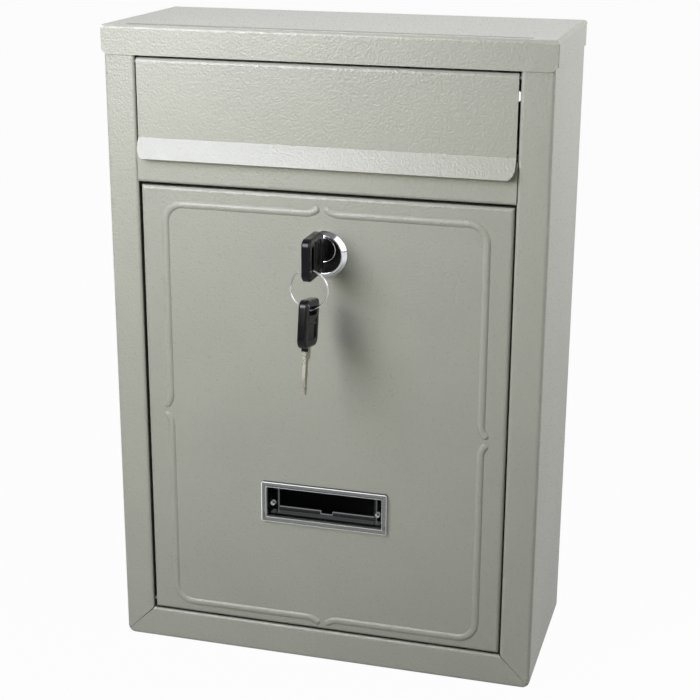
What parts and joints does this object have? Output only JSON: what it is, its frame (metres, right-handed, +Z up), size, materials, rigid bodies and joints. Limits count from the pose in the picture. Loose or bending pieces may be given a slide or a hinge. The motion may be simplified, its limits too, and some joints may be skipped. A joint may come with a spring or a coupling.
{
  "type": "donation box",
  "caption": "Wall-mounted sheet-steel collection box with a hinged letter flap, a drop-down locking door with a clear name window, and two keys on a ring.",
  "frame": {"origin": "centre of the base, level with the underside and midway between the front lip of the cap and the wall face", "axes": "+X to the right seen from the front, +Y towards the wall, +Z up"},
  "size_m": [0.2156, 0.129, 0.317],
  "materials": {
    "body_paint": "satin powder coat with a fine texture",
    "cap_paint": "satin powder coat with a fine texture",
    "flap_paint": "satin powder coat with a fine texture",
    "door_paint": "satin powder coat with a fine texture",
    "zinc": "bright zinc plated",
    "lock_black": "black lacquered die casting",
    "chrome": "polished chrome plate",
    "clear_plastic": "clear moulded plastic",
    "key_black": "black moulded plastic",
    "key_steel": "nickel plated, lightly worn",
    "ring_steel": "bright plated wire"
  },
  "bodies": {
    "cabinet": {"body_wrap": "body_paint", "top_cap": "cap_paint", "back_panel": "body_paint", "mid_rail": "body_paint", "flap_rod": "zinc", "rod_retainers": "zinc", "hinge_pins": "zinc"},
    "flap": {"letter_flap": "flap_paint"},
    "door": {"door_panel": "door_paint", "name_window": "clear_plastic", "card_retainer": "clear_plastic", "lock_barrel": "lock_black", "lock_bezel": "chrome", "lock_nut": "zinc"},
    "plug": {"lock_plug": "lock_black", "lock_cam": "zinc", "cam_washer": "zinc", "cam_screw": "zinc"},
    "key": {"key_blade": "key_steel", "key_head": "key_black"},
    "ring": {"key_ring": "ring_steel"},
    "spare_key": {"spare_key_blade": "key_steel", "spare_key_head": "key_black"}
  },
  "joints": [
    {"name": "flap_hinge", "type": "hinge", "parent": "cabinet", "child": "flap", "pos_m": [0, -0.04302, 0.29992], "axis": [-1, 0, 0], "range_deg": [0, 100]},
    {"name": "door_hinge", "type": "hinge", "parent": "cabinet", "child": "door", "pos_m": [0, -0.042, 0.0209], "axis": [1, 0, 0], "range_deg": [0, 90]},
    {"name": "lock_turn", "type": "hinge", "parent": "door", "child": "plug", "pos_m": [0.00185, -0.0452, 0.2166], "axis": [0, 1, 0], "range_deg": [0, 90]},
    {"name": "key_pull", "type": "slide", "parent": "plug", "child": "key", "axis": [0, -1, 0], "range_m": [0, 0.022]},
    {"name": "ring_swing", "type": "hinge", "parent": "key", "child": "ring", "pos_m": [0.00185, -0.0707, 0.21236], "axis": [1, 0, 0], "range_deg": [-60, 10]},
    {"name": "spare_key_swing", "type": "hinge", "parent": "ring", "child": "spare_key", "pos_m": [0.00185, -0.0707, 0.19436], "axis": [1, 0, 0], "range_deg": [-40, 15]}
  ]
}
